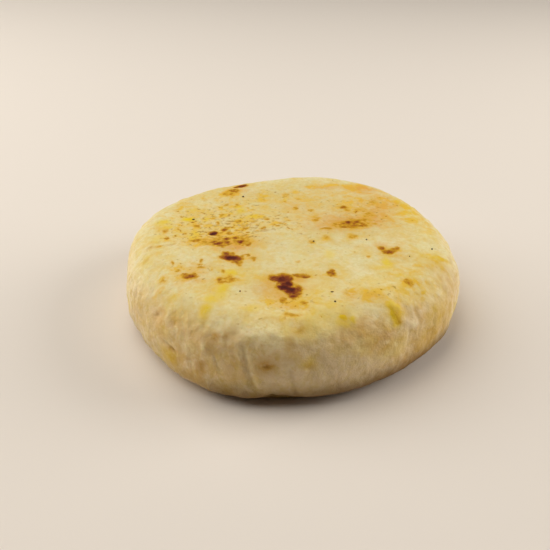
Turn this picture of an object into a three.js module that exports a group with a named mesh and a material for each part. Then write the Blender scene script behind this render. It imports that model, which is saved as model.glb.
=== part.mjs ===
// Arepa: a thick round cake of white corn dough, patted into shape by hand and browned on both faces.
// One solid. Millimetres, +Z up, with the origin in the middle of the flat underside.
// Bearings are degrees round the cake, from +X towards +Y.

import * as THREE from 'three';
import { mergeVertices } from 'three/addons/utils/BufferGeometryUtils.js';

// Driving dimensions
const RADIUS = 52.5; // mean radius of the wall at its fullest height
const THICKNESS = 24; // from the underside to the edge of the top face
const CROWN = 0.8; // how far the middle of the top face stands above its edge
const FULLEST_HEIGHT = 10.8; // height at which the wall bulges out furthest
const BARREL = 2.5; // how far the wall has drawn in from there by the height of the top face
const FOOT_INSET = 6; // how far the flat underside stops short of the wall
const FOOT_RISE = 6; // height over which the foot turns up into the wall
const SHOULDER_INSET = 8.5; // how far the rounded shoulder reaches in from the wall
const SHOULDER_SWAY = 1.25; // how much wider than that the shoulder is at its widest
const SHOULDER_WIDEST = 326; // bearing of the widest shoulder
const SHOULDER_DROP = 9; // height that the shoulder takes up below the top face

// The outline is not a true circle: each lobe pushes it out and in that many times round, by a share
// of the radius, and is fullest at its bearing.
const LOBES = [
  { times: 2, share: 0.0294, bearing: 64.6 },
  { times: 3, share: 0.0149, bearing: 40.5 },
  { times: 4, share: 0.0208, bearing: -23.6 },
  { times: 5, share: 0.0024, bearing: -7.6 },
];

// Swells and dents left by the hands: where each is centred, how far it spreads round the wall and
// rises up it, and how far it stands out, or in where that is negative.
const SWELLS = [
  // Foot, where it sags onto the board or tucks in under the wall
  { bearing: 200, height: 7, spread: 8, rise: 6, out: 0.8 },
  { bearing: 245.5, height: 2.5, spread: 7.5, rise: 4.5, out: 0.95 },
  { bearing: 265.5, height: 1.5, spread: 6, rise: 3.5, out: -1.1 },
  { bearing: 286, height: 2.5, spread: 8, rise: 5, out: 0.45 },
  { bearing: 307, height: 2.5, spread: 4, rise: 4, out: 0.25 },
  { bearing: 338, height: 4, spread: 5, rise: 5, out: -0.3 },
  { bearing: 78, height: 8, spread: 9, rise: 5, out: -0.5 },
  // Wall and shoulder
  { bearing: 349, height: 9.5, spread: 6, rise: 4.5, out: 0.4 },
  { bearing: 2, height: 18, spread: 8, rise: 5, out: -0.35 },
  { bearing: 39, height: 20, spread: 6, rise: 4, out: -0.25 },
  { bearing: 131, height: 14, spread: 10, rise: 6, out: 0.45 },
  { bearing: 160, height: 19, spread: 8, rise: 5, out: -0.25 },
  { bearing: 184, height: 12, spread: 7, rise: 7, out: -0.35 },
  { bearing: 224.5, height: 18, spread: 1.8, rise: 1.6, out: -0.7 },
  { bearing: 232, height: 19, spread: 1.8, rise: 1.6, out: -0.6 },
  { bearing: 244, height: 16.5, spread: 2.4, rise: 1.6, out: 0.4 },
  { bearing: 286, height: 14, spread: 9, rise: 6, out: 0.35 },
  { bearing: 311, height: 11, spread: 7, rise: 6, out: -0.3 },
  // A low lip along the front edge of the top face
  { bearing: 258, height: 21.8, spread: 4, rise: 1.5, out: 0.4 },
  { bearing: 265, height: 22.3, spread: 5, rise: 1.4, out: 0.55 },
  { bearing: 273, height: 23.4, spread: 4.5, rise: 1.2, out: 0.35 },
];

// Creases where the edge of the dough folded as it was patted: bearing and height of the upper end
// and of the lower end, depth of the groove and half its width.
const CREASES = [
  { upper: [200, 18], lower: [199, 8], depth: 0.45, halfWidth: 1.2 },
  { upper: [205.5, 19.5], lower: [212, 12], depth: 0.5, halfWidth: 1.2 },
  { upper: [209.5, 20.5], lower: [216.5, 14], depth: 0.45, halfWidth: 1.2 },
  { upper: [228.5, 13.5], lower: [233.5, 11.5], depth: 0.8, halfWidth: 1.2 },
  { upper: [236, 12.5], lower: [235, 7], depth: 0.5, halfWidth: 1.3 },
  { upper: [240, 14.5], lower: [240, 10], depth: 0.4, halfWidth: 1.3 },
  { upper: [245.5, 13], lower: [241.5, 8], depth: 0.55, halfWidth: 1.3 },
  { upper: [246.5, 16], lower: [251, 6.5], depth: 0.8, halfWidth: 1.4 },
  { upper: [254.5, 18], lower: [259.5, 5], depth: 1.1, halfWidth: 1.6 },
  { upper: [268.5, 13], lower: [270.5, 4], depth: 0.8, halfWidth: 1.5 },
  { upper: [274, 16.5], lower: [276, 9], depth: 0.5, halfWidth: 1.4 },
  { upper: [281, 17.8], lower: [291, 16.4], depth: 0.3, halfWidth: 1.2 },
  { upper: [282, 13.5], lower: [282, 7], depth: 0.45, halfWidth: 1.3 },
  { upper: [307, 17], lower: [306, 9], depth: 0.45, halfWidth: 1.3 },
  { upper: [312, 20], lower: [311.5, 13], depth: 0.5, halfWidth: 1.3 },
  { upper: [320, 18], lower: [318.5, 7], depth: 0.45, halfWidth: 1.4 },
  { upper: [331, 19], lower: [329, 8], depth: 0.4, halfWidth: 1.4 },
];

// The far side of the wall is creased at uneven steps, from a first bearing round to a last one.
// Each beat, in radians, makes its value stray by that amount from crease to crease.
const FAR_SIDE = {
  creases: 11,
  first: 345,
  last: 545,
  bearing: { amount: 5, beat: 2.4 },
  lean: { amount: 3, beat: 3.1 },
  upper: { height: 16, amount: 2, beat: 1.1 },
  lower: { height: 6, amount: 1, beat: 2.1 },
  depth: { mean: 0.42, amount: 0.14, beat: 1.7 },
  halfWidth: 1.4,
};

const BANK = 0.35; // height of the banks beside a crease as a share of its depth
const BANK_DISTANCE = 2; // how far those banks lie from its middle, in half widths
const WALL_FADE = 0.4; // wall relief fades over the shoulder once the normal's reach out is under this
const REST_RISE = 2.5; // height over which all relief grows from nothing at the flat underside

// Slow unevenness of the whole skin: crossing waves, each with a direction and a phase, in two lengths.
const WAVES = [
  { direction: [1, 0.6, 0.2], phase: 1.3 },
  { direction: [-0.5, 0.9, 0.7], phase: 4.1 },
  { direction: [0.3, -0.8, 1.1], phase: 2.2 },
];
const SKIN_WAVES = [
  { length: 37, height: 0.3 },
  { length: 15, height: 0.14 },
];

// Mesh: corners round the cake, and rows of faces on each part of the skin
const AROUND = 132;
const UNDERSIDE_ROWS = 3;
const FOOT_ROWS = 5;
const WALL_ROWS = 9;
const SHOULDER_ROWS = 8;
const TOP_ROWS = 9;
const MERGE_DISTANCE = 1e-4; // corners nearer than this are one, at the seam and the two middles

const DEGREE = Math.PI / 180;
const QUARTER_TURN = Math.PI / 2;
const FULL_TURN = 2 * Math.PI;

function smoothStep(share) {
  const held = Math.min(Math.max(share, 0), 1);
  return held * held * (3 - 2 * held);
}

// Shortest way round from one bearing to another, in degrees.
function turnBetween(bearing, other) {
  return ((((bearing - other) % 360) + 540) % 360) - 180;
}

// Radius of the outline at its fullest height.
function outline(bearing) {
  let stretch = 1;
  for (const lobe of LOBES) {
    stretch += lobe.share * Math.cos(lobe.times * (bearing - lobe.bearing) * DEGREE);
  }
  return RADIUS * stretch;
}

// Radius of the wall at a height, with the barrel's draw-in above and below its fullest ring.
function wallRadius(bearing, height) {
  const away = (Math.min(height, THICKNESS) - FULLEST_HEIGHT) / (THICKNESS - FULLEST_HEIGHT);
  return outline(bearing) - BARREL * away * away;
}

function shoulderInset(bearing) {
  return SHOULDER_INSET + SHOULDER_SWAY * Math.cos((bearing - SHOULDER_WIDEST) * DEGREE);
}

// Each part of the skin takes a share of the way along it and gives the distance from the middle,
// the height, and the lean of its outward normal: a quarter turn down, level, or a quarter turn up.
function underside(bearing, share) {
  return { out: (wallRadius(bearing, 0) - FOOT_INSET) * share, up: 0, lean: -QUARTER_TURN };
}

function foot(bearing, share) {
  const angle = QUARTER_TURN * share;
  const up = FOOT_RISE * (1 - Math.cos(angle));
  const out = wallRadius(bearing, up) - FOOT_INSET * (1 - Math.sin(angle));
  return { out, up, lean: angle - QUARTER_TURN };
}

function wall(bearing, share) {
  const up = FOOT_RISE + (THICKNESS - SHOULDER_DROP - FOOT_RISE) * share;
  return { out: wallRadius(bearing, up), up, lean: 0 };
}

function shoulder(bearing, share) {
  const angle = QUARTER_TURN * share;
  const up = THICKNESS - SHOULDER_DROP * (1 - Math.sin(angle));
  const out = wallRadius(bearing, up) - shoulderInset(bearing) * (1 - Math.cos(angle));
  return { out, up, lean: angle };
}

function top(bearing, share) {
  const inward = 1 - share;
  const out = (wallRadius(bearing, THICKNESS) - shoulderInset(bearing)) * inward;
  return { out, up: THICKNESS + CROWN * (1 - inward * inward), lean: QUARTER_TURN };
}

const SKIN = [
  { part: underside, rows: UNDERSIDE_ROWS },
  { part: foot, rows: FOOT_ROWS },
  { part: wall, rows: WALL_ROWS },
  { part: shoulder, rows: SHOULDER_ROWS },
  { part: top, rows: TOP_ROWS },
];
const ALONG = SKIN.reduce((sum, stretch) => sum + stretch.rows, 0);

// The plain profile at a row, counted from the middle of the underside to the middle of the top.
function profile(bearing, row) {
  let left = row;
  for (const stretch of SKIN) {
    if (left <= stretch.rows) {
      return stretch.part(bearing, left / stretch.rows);
    }
    left -= stretch.rows;
  }
  return top(bearing, 1);
}

function stray({ amount, beat }, index) {
  return amount * Math.sin(beat * index);
}

function farSideCreases() {
  const creases = [];
  const step = (FAR_SIDE.last - FAR_SIDE.first) / (FAR_SIDE.creases - 1);
  for (let index = 0; index < FAR_SIDE.creases; index += 1) {
    const bearing = FAR_SIDE.first + step * index + stray(FAR_SIDE.bearing, index);
    creases.push({
      upper: [bearing, FAR_SIDE.upper.height + stray(FAR_SIDE.upper, index)],
      lower: [bearing + stray(FAR_SIDE.lean, index), FAR_SIDE.lower.height + stray(FAR_SIDE.lower, index)],
      depth: FAR_SIDE.depth.mean + stray(FAR_SIDE.depth, index),
      halfWidth: FAR_SIDE.halfWidth,
    });
  }
  return creases;
}

const ALL_CREASES = [...CREASES, ...farSideCreases()];

// How far a crease lifts or lowers the skin at a bearing and height, measured on the unrolled wall.
function creaseRelief(crease, bearing, height) {
  const across = turnBetween(bearing, crease.upper[0]) * DEGREE * RADIUS;
  const up = height - crease.upper[1];
  const runAcross = turnBetween(crease.lower[0], crease.upper[0]) * DEGREE * RADIUS;
  const runUp = crease.lower[1] - crease.upper[1];
  const share = (across * runAcross + up * runUp) / (runAcross * runAcross + runUp * runUp);
  const nearest = Math.min(Math.max(share, 0), 1);
  const distance = Math.hypot(across - nearest * runAcross, up - nearest * runUp) / crease.halfWidth;
  const groove = Math.exp(-(distance ** 2));
  const bank = Math.exp(-((distance - BANK_DISTANCE) ** 2));
  return crease.depth * (BANK * bank - groove);
}

function swellRelief(swell, bearing, height) {
  const across = (turnBetween(bearing, swell.bearing) * DEGREE * RADIUS) / swell.spread;
  const up = (height - swell.height) / swell.rise;
  return swell.out * Math.exp(-(across * across) - up * up);
}

// Crossing waves of one length, between -1 and 1.
function waves(x, y, z, length) {
  let sum = 0;
  for (const { direction, phase } of WAVES) {
    const along = x * direction[0] + y * direction[1] + z * direction[2];
    sum += Math.sin((FULL_TURN * along) / length + phase);
  }
  return sum / WAVES.length;
}

// How far the skin stands out from the plain profile.
function relief(bearing, { out, up, lean }) {
  const x = out * Math.cos(bearing * DEGREE);
  const y = out * Math.sin(bearing * DEGREE);
  let lift = 0;
  for (const wave of SKIN_WAVES) {
    lift += wave.height * waves(x, y, up, wave.length);
  }
  const onWall = smoothStep(Math.cos(Math.max(lean, 0)) / WALL_FADE);
  for (const crease of ALL_CREASES) {
    lift += onWall * creaseRelief(crease, bearing, up);
  }
  for (const swell of SWELLS) {
    lift += onWall * swellRelief(swell, bearing, up);
  }
  return lift * smoothStep(up / REST_RISE);
}

// The skin's point at a bearing and row.
function skinPoint(bearing, row) {
  const plain = profile(bearing, row);
  const lift = relief(bearing, plain);
  const out = plain.out + lift * Math.cos(plain.lean);
  const up = Math.max(plain.up + lift * Math.sin(plain.lean), 0);
  return new THREE.Vector3(out * Math.cos(bearing * DEGREE), out * Math.sin(bearing * DEGREE), up);
}

// A sphere's rings and corners carried onto the skin, then stood on its underside about the middle.
// Its rings run from the middle of the top face down and under to the middle of the underside.
function cornCakeGeometry() {
  const sphere = new THREE.SphereGeometry(1, AROUND, ALONG);
  const position = sphere.attributes.position;
  for (let index = 0; index < position.count; index += 1) {
    const ring = Math.floor(index / (AROUND + 1));
    const corner = index % (AROUND + 1);
    const point = skinPoint((360 * (corner % AROUND)) / AROUND, ALONG - ring);
    position.setXYZ(index, point.x, point.y, point.z);
  }
  sphere.deleteAttribute('uv');
  sphere.deleteAttribute('normal');
  const skin = mergeVertices(sphere, MERGE_DISTANCE);
  skin.computeBoundingBox();
  const { min, max } = skin.boundingBox;
  skin.translate(-(min.x + max.x) / 2, -(min.y + max.y) / 2, -min.z);
  skin.computeVertexNormals();
  return skin;
}

// Griddled corn dough: matt, pale and creamy under its toasted patches.
function cornDough() {
  return new THREE.MeshStandardMaterial({ color: 0xdcc68a, roughness: 0.6, metalness: 0 });
}

function cornCake() {
  const mesh = new THREE.Mesh(cornCakeGeometry(), cornDough());
  mesh.name = 'corn_cake';
  return mesh;
}

const arepa = new THREE.Group();
arepa.name = 'arepa';
arepa.add(cornCake());

export default arepa;
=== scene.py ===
import math
import random

import bmesh
import bpy
import numpy as np
from mathutils import Euler, Matrix, Vector, noise


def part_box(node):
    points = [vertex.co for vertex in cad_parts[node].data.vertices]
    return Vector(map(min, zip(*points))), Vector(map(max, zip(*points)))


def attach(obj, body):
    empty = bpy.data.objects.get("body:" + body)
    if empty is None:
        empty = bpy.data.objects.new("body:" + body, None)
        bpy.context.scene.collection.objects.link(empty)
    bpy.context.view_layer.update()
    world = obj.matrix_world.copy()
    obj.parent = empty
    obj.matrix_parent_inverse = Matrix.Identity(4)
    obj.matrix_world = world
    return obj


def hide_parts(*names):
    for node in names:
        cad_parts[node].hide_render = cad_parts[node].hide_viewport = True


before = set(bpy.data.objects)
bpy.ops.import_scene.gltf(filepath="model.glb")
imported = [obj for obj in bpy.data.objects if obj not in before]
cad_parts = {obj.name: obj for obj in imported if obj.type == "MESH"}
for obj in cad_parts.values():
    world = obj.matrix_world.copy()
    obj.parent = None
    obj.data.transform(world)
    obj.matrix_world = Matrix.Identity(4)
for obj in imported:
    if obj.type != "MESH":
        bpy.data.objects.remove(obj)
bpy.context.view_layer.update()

# An arepa: a thick round cake of white corn dough, patted into shape by hand and browned on both
# faces. The one solid of the frame is replaced by a cake of the same form with its finer relief and
# its toasting. Lengths are millimetres until the mesh is fitted to the frame, which is in metres.
# Bearings are degrees round the cake, from +X towards +Y.

# --- Form: the driving dimensions of the solid. The foot is fuller here, and a few of the creases
# and dents of the near side are moved a little. ---

RADIUS = 52.5  # mean radius of the wall at its fullest height
THICKNESS = 24  # from the underside to the edge of the top face
CROWN = 0.8  # how far the middle of the top face stands above its edge
FULLEST_HEIGHT = 10.8  # height at which the wall bulges out furthest
BARREL = 2.5  # how far the wall has drawn in from there by the height of the top face
SHOULDER_INSET = 8.5  # how far the rounded shoulder reaches in from the wall
SHOULDER_SWAY = 1.25  # how much wider than that the shoulder is at its widest
SHOULDER_WIDEST = 326  # bearing of the widest shoulder
SHOULDER_DROP = 9  # height that the shoulder takes up below the top face

# Lobes of the outline: times round, share of the radius, bearing where it is fullest
LOBES = (
    (2, 0.0294, 64.6),
    (3, 0.0149, 40.5),
    (4, 0.0208, -23.6),
    (5, 0.0024, -7.6),
)

# Swells and dents left by the hands: bearing, height, spread round the wall, rise up it, and how
# far it stands out, or in where that is negative
SWELLS = (
    (200, 7, 8, 6, 0.8),
    (245.5, 2.5, 7.5, 4.5, 0.95),
    (265.5, 1.5, 6, 3.5, -1.1),
    (286, 2.5, 8, 5, 0.45),
    (307, 2.5, 4, 4, 0.25),
    (338, 4, 5, 5, -0.3),
    (78, 8, 9, 5, -0.5),
    (349, 9.5, 6, 4.5, 0.4),
    (2, 18, 8, 5, -0.35),
    (39, 20, 6, 4, -0.25),
    (131, 14, 10, 6, 0.45),
    (160, 19, 8, 5, -0.25),
    (184, 12, 7, 7, -0.35),
    (224.3, 18.1, 1.1, 0.9, -0.55),
    (232.2, 18.6, 1.1, 0.9, -0.5),
    (244, 16.5, 2.4, 1.6, 0.4),
    (286, 14, 9, 6, 0.35),
    (311, 11, 7, 6, -0.3),
    (258, 21.8, 4, 1.5, 0.4),
    (265, 22.3, 5, 1.4, 0.55),
    (273, 23.4, 4.5, 1.2, 0.35),
)

# Creases of the wall: bearing and height of the upper end, of the lower end, depth, half width
CREASES = (
    (200, 18, 199, 8, 0.45, 1.2),
    (205.5, 19.5, 212, 12, 0.38, 1.2),
    (209.5, 20.5, 216.5, 14, 0.32, 1.2),
    (229.8, 12.6, 234.2, 11.2, 1, 1.2),
    (236, 12.5, 235, 7, 0.5, 1.3),
    (240, 14.5, 240, 10, 0.4, 1.3),
    (245.5, 13, 241.5, 8, 0.4, 1.3),
    (247.2, 15.6, 248.8, 10.8, 0.75, 1.1),
    (255.6, 18.6, 258.4, 8, 1.2, 1.6),
    (268.5, 13, 270.5, 4, 0.8, 1.5),
    (274, 13.5, 275.6, 9, 0.4, 1.4),
    (281, 17.8, 291, 16.4, 0.3, 1.2),
    (282, 13.5, 282, 7, 0.45, 1.3),
    (307, 17, 306, 9, 0.45, 1.3),
    (312, 20, 311.5, 13, 0.35, 1.3),
    (320, 18, 318.5, 7, 0.3, 1.4),
    (331, 19, 329, 8, 0.25, 1.4),
)

# The far side of the wall is creased at uneven steps. The last two values in each pair of brackets
# are the amount and the beat, in radians, by which it strays from crease to crease.
FAR_CREASES = 11
FAR_FIRST = 345
FAR_LAST = 545
FAR_BEARING = (5, 2.4)
FAR_LEAN = (3, 3.1)
FAR_UPPER = (16, 2, 1.1)
FAR_LOWER = (6, 1, 2.1)
FAR_DEPTH = (0.42, 0.14, 1.7)
FAR_HALF_WIDTH = 1.4

BANK = 0.35  # height of the banks beside a crease as a share of its depth
BANK_DISTANCE = 2  # how far those banks lie from its middle, in half widths
WALL_FADE = 0.4  # wall relief fades over the shoulder once the normal's reach out is under this
REST_RISE = 2.5  # height over which all relief grows from nothing at the flat underside

# Slow unevenness of the whole skin: direction and phase of each crossing wave, then their lengths
# and heights
WAVES = (
    ((1, 0.6, 0.2), 1.3),
    ((-0.5, 0.9, 0.7), 4.1),
    ((0.3, -0.8, 1.1), 2.2),
)
SKIN_WAVES = ((37, 0.3), (15, 0.14))

# --- Finer relief, which only this model has ---

GRID = 128  # faces along each edge of the cube that the skin is made from
FOOT_REACH = 4  # how far the flat underside stops short of the wall
FOOT_ROUND = 2.6  # radius of the foot's lower edge, which overhangs what the cake lies on
FOOT_EDGE = 4.9  # height of the middle of that round
CREASE_DEPTH_SHARE = 0.28  # creases are shallower and narrower than the solid can hold them
CREASE_WIDTH_SHARE = 0.48
CREASE_SHADE_FALL = 2  # how fast a crease's shade fades from its middle
SKIN_LUMPS = ((6.5, 0.2, 0.09), (3, 0.22, 0.06), (1.5, 0.14, 0.035))  # size, height on wall and top
LIP_HEIGHT = 20.3  # the lip between wall and top is crumblier than either
LIP_RISE = 2.8
LIP_LUMPS = ((3.2, 0.28), (1.6, 0.19))  # size and height
# Small lumps and notches, in the terms of the swells above
LUMPS = (
    (257.5, 3.5, 3.2, 2.6, 0.45),
    (263.4, 3, 0.8, 3.4, -0.5),
    (266.5, 3, 2.6, 2.6, -0.2),
    (257, 21.8, 4, 1.5, -0.3),
    (265, 22.4, 5, 1.4, -0.55),
    (273, 23.4, 4.5, 1.2, -0.35),
    (256, 20.5, 1.6, 0.8, 0.22),
    (259, 20.9, 1.8, 0.8, 0.24),
    (263, 21.2, 2, 0.8, 0.26),
    (269.5, 22.3, 3, 0.9, -0.15),
    (244.2, 16.5, 0.8, 1.3, 0.35),
    (255.8, 17.8, 1.2, 2.6, 0.25),
    (260, 20.2, 7, 1.6, 0.4),
    (276, 20.8, 6, 1.3, 0.25),
    (309, 17.3, 1.4, 1, 0.3),
    (303, 21.8, 7, 1.8, 0.4),
    (232.4, 11.7, 2, 0.7, -0.5),
)
WRINKLE_SPACING = 2.1  # fine upright wrinkles of the wall
WRINKLE_REACH = 12  # how far one runs up the wall
WRINKLE_DEPTH = 0.03
WRINKLED_SIDE = 213  # bearing where the wrinkles are deepest
WRINKLED_SPREAD = 22
WRINKLED_DEPTH = 0.24
PIT_SPACING = 4.6  # pores where a grain or a bubble has broken the skin
PIT_RADIUS = 0.75  # of the largest
SMALLEST_PIT = 0.4  # in shares of the largest
PIT_DEPTH = 0.25
PIT_DEPTH_ON_TOP = 0.12  # of a pore on a flat face, as a share of that
PITTED_ABOVE = 0.62  # a cell has a pore where its chance, up to 1, is over this
CHANCE_SCALE = 7.3  # the two scales at which a cell's chance and its pore's size are read
SIZE_SCALE = 3.1
KERNEL_RISE = 0.22  # how far a piece of yellow corn stands out
CHAR_DROP = 0.12  # how far the skin has shrunk where it is charred
CHARRED = (0.5, 0.9)  # how far it is toasted where that starts and where it is complete

# --- Toasting and corn, on the top face ---
# Toasted marks: place across and deep from the middle, length, width, how far it is toasted, from 0,
# raw, past 50, brown, to 100, charred, and the turn in degrees of a mark that is turned
TOASTED = (
    # the big char, in two lobes with a streak to its side
    (-2.9, -26.8, 4.8, 4.2, 88, 3), (-4.9, -27, 2.2, 2.6, 76), (-1.2, -27.3, 2.4, 3.2, 78),
    (-1.7, -29.1, 3, 3.4, 94, -10), (-2.4, -31.1, 3.8, 2.8, 100, -16),
    (-0.9, -32.4, 3.2, 3.4, 97, -30), (0.1, -33.5, 3.5, 4.3, 77, 10), (1.2, -32.1, 2.1, 3.8, 70, 10),
    (0.3, -30.3, 2.4, 2, 36), (-5.6, -26.2, 2.2, 3, 70), (-7.4, -26.6, 3, 4, 22),
    (-0.4, -35.2, 2.6, 2.6, 74), (-3, -31, 9, 11, 24), (-2.9, -37.2, 1.8, 2.2, 58),
    (1.3, -24.9, 3.6, 1.8, 62), (3.3, -25.4, 3, 1.7, 60, -12), (2.4, -24.3, 1.4, 1.6, 42),
    (2.7, -38.3, 1.9, 1.2, 46), (-0.4, -43.8, 4.4, 1.3, 36),
    # the second char, with its satellites
    (-19.3, -13.1, 2, 2.8, 70), (-18.8, -14.6, 2.6, 1.8, 80), (-17.6, -15.1, 5.2, 2.6, 96, -8),
    (-15.4, -15.3, 1.8, 1.6, 72), (-16.1, -17.6, 3, 2.2, 56, -10), (-15.2, -19.3, 1.4, 1.6, 38),
    (-17.6, -12.6, 1.6, 1.8, 58), (-19.8, -11.4, 1.2, 1.8, 34), (-14.4, -13.9, 1.1, 1.5, 42),
    (-13.7, -13.2, 1.9, 1, 50), (-12.9, -14, 1, 1.4, 42), (-11.4, -15.6, 1.7, 2.4, 50),
    # the third char
    (-23.9, 0.8, 2.5, 2.5, 100), (-22, 1.2, 2.2, 1.6, 45), (-20.6, 2.9, 2.2, 1.9, 66),
    (-20, 4.2, 1.6, 1.5, 50), (-19.2, 0.3, 1.8, 2.2, 46),
    # the brown band to its front, in a haze
    (-21.5, -5.4, 9, 5, 40), (-15.6, -5, 6.4, 5, 40), (-28, -4.4, 7, 3, 26),
    (-28.9, -4.1, 2.6, 1.7, 56), (-30.4, -3.6, 2, 1.2, 30, 10), (-26, -5, 1.8, 1.5, 50),
    (-25.2, -6.9, 1.4, 1.5, 34), (-23.3, -5, 2.2, 1.5, 68), (-21.9, -6.3, 2.8, 2.2, 78),
    (-21.1, -7.9, 3.4, 1.7, 58), (-19.5, -3.5, 2.2, 1.5, 72), (-19.3, -5.6, 2.4, 2.4, 66),
    (-18.7, -6.9, 1.3, 1.7, 56), (-16.9, -3, 2.2, 2.2, 62, -30), (-16.5, -2.2, 0.9, 1.4, 40),
    (-15.3, -5.6, 2.2, 2, 76), (-14, -6, 3.2, 2.2, 50, -20), (-12.9, -7.6, 1.5, 1.8, 52),
    (-14.7, -7.9, 1.3, 1.1, 50), (-17.4, -9.8, 1.2, 1.2, 30),
    # specks beyond it
    (-24.7, 11.3, 2, 1.5, 44), (-22.1, 13.2, 1.2, 2.6, 42), (-23.1, 7.6, 0.9, 2.2, 48),
    (-29.5, 6.1, 1.8, 1.8, 45), (-28.3, 7.6, 1, 0.9, 40), (-34.9, 6.5, 0.8, 1.2, 38),
    (-35.1, 4, 0.9, 1.8, 30), (-38.9, 2.8, 1.8, 2.8, 36), (-16.2, 9, 1.6, 1.6, 48),
    (-12.1, 8.5, 1.6, 1.4, 30), (-7.4, 10, 1.8, 1.6, 42), (-14.9, 5.8, 1.4, 1.6, 36),
    (-14.3, 3.5, 1.6, 1.6, 42), (-13.3, 0.8, 1.2, 1, 46), (-10.5, 2, 1.6, 1.4, 28),
    (-5.8, 5.5, 1.2, 1.4, 36), (-4, 4.6, 1.6, 1.2, 36), (-3.6, 7.2, 1.8, 1.8, 30),
    (-0.5, 9, 2.2, 1.2, 34), (-1.5, 6.4, 0.8, 0.8, 36), (-37.9, -2, 1.1, 1.7, 52),
    (-39.8, -7.2, 1.6, 1.8, 42), (-22.4, -2.8, 3.2, 2.2, 36),
    # spots on the left
    (-28.4, -25.2, 3.6, 2.4, 66), (-30.1, -24.2, 1.6, 1.5, 56), (-27.6, -24, 1.2, 1.4, 55),
    (-32.4, -22.2, 1.6, 1.6, 42), (-34.2, -17.8, 0.9, 1.9, 46, 20), (-26.3, -16.8, 1, 2, 42),
    (-26.2, -18.9, 1.4, 1.2, 38), (-25.9, -20.6, 2, 1.2, 44), (-22.8, -21.6, 0.9, 1.6, 32),
    (-20.2, -27.4, 1.6, 2.4, 54), (-19.2, -28.5, 3, 2, 46), (-17.4, -26, 1.5, 2.8, 42),
    (-17.4, -27.4, 5, 2.6, 40), (-19.4, -22.9, 1, 1.6, 40), (-36.2, -25.7, 1.6, 2.8, 26),
    (-36.6, -29.6, 2.2, 2.4, 26),
    # marks at the far edge
    (-16.6, 37.6, 3.2, 2.2, 86, 10), (-18.4, 36.5, 1.8, 1.6, 70), (-19.2, 32.8, 4, 3.4, 56),
    (-20.7, 29.8, 4.2, 3.6, 42), (-17.5, 21.2, 1.3, 2.4, 44, 20), (-21, 21.4, 1.8, 2.2, 34),
    (-28.7, 25.5, 1.6, 2.2, 28), (-1.8, 24, 1.4, 2, 32), (-1.4, 29.4, 2, 3.2, 30),
    (-9.2, 25.4, 1.8, 1.6, 28), (1.7, 18.5, 1.7, 2.4, 42), (6.6, 17, 1.8, 2.2, 38),
    (3, 25.8, 2, 2.2, 26), (-12.5, 20.3, 1, 1.2, 30), (-14, 18.5, 1, 1.6, 30),
    (17.3, 19.2, 2.4, 2.6, 57), (22.7, 17, 4, 4, 30), (18.4, 16.8, 2, 2.4, 30),
    # the brown smear
    (18, 7.8, 2.2, 2.2, 70), (20.2, 7.9, 4.4, 3.8, 54), (23.6, 9.4, 4, 2.6, 40),
    (22, 5.5, 3.4, 1.8, 60, 12), (16.5, 4.4, 2.4, 1.6, 58, 10), (14.4, 6.6, 2.8, 1.6, 40),
    (11.2, 3, 3.8, 2, 40), (19, 6.4, 10, 5.4, 50, 10), (26.3, 6.9, 1.7, 1.3, 36, 20),
    (25, 13.4, 4, 4.6, 33), (24.5, 17.6, 1.8, 3, 26), (27.6, 23.6, 3, 5.6, 32, -10),
    (30, 11.2, 4, 1.8, 26), (8, 9.8, 2.6, 5, 34), (10.4, -2.8, 2.4, 3, 32), (5.9, -5.8, 2.2, 2, 34),
    (18.8, -1.4, 3.4, 3, 34),
    # the bent mark and the round ones to its front
    (26.4, -9.1, 2, 2.1, 60), (28.3, -11.1, 3, 2.2, 72, 6), (30.2, -9.9, 2.2, 2.1, 58, 20),
    (31.1, -9, 1.3, 1.9, 48), (28.4, -9.6, 1.6, 1.4, 30), (10.7, -23.8, 2.1, 3.5, 62),
    (31.9, -27.1, 2.6, 2.6, 47), (22.1, -14.2, 1, 1.6, 32), (1.6, -17.3, 1.2, 1.4, 30),
)
# Bits of dark hull in the meal: place across and deep, length, width and turn
HULLS = (
    (6.5, -5.4, 0.6, 0.8, 0), (22.6, -3.2, 0.5, 0.8, -10), (41.5, -8.2, 0.6, 0.9, -20),
    (34, -13.6, 0.35, 0.6, 0), (10.2, -33.6, 0.9, 0.6, 0), (10.7, -38, 0.6, 0.8, 0),
    (-14.4, -33.2, 0.5, 0.7, 0), (-31, 10.8, 1, 0.9, 10), (-15.8, 27.7, 0.7, 1.3, 0),
)
HULL_THICKNESS = 0.3
HULL_SIDES = 12

# Where the griddle has freckled the skin: place, length, width and how thickly, in per cent
FRECKLED = (
    (-21, -4, 20, 10, 85), (-17, 3, 24, 12, 85), (-22, 14, 30, 22, 50), (-4, 8, 22, 14, 40),
    (20, 8, 20, 12, 45), (24, 20, 26, 20, 30), (0, 28, 60, 20, 30), (0, -38, 20, 12, 45),
    (22, -33, 22, 9, 35), (-27, -23, 18, 14, 40), (-36, 0, 12, 40, 30),
)
FRECKLED_EVERYWHERE = 0.1
FRECKLE_BAR = (0.68, 0.47)  # how high the specks rise to make a freckle, where few and where thick
FRECKLES_FADE = 0.1  # freckles thinner than this fade out
FRECKLES_GILD = 0.25  # how golden the skin between thick freckles is
GOLDEN_EVERYWHERE = 0.16  # the whole face that met the griddle is a little golden
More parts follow.
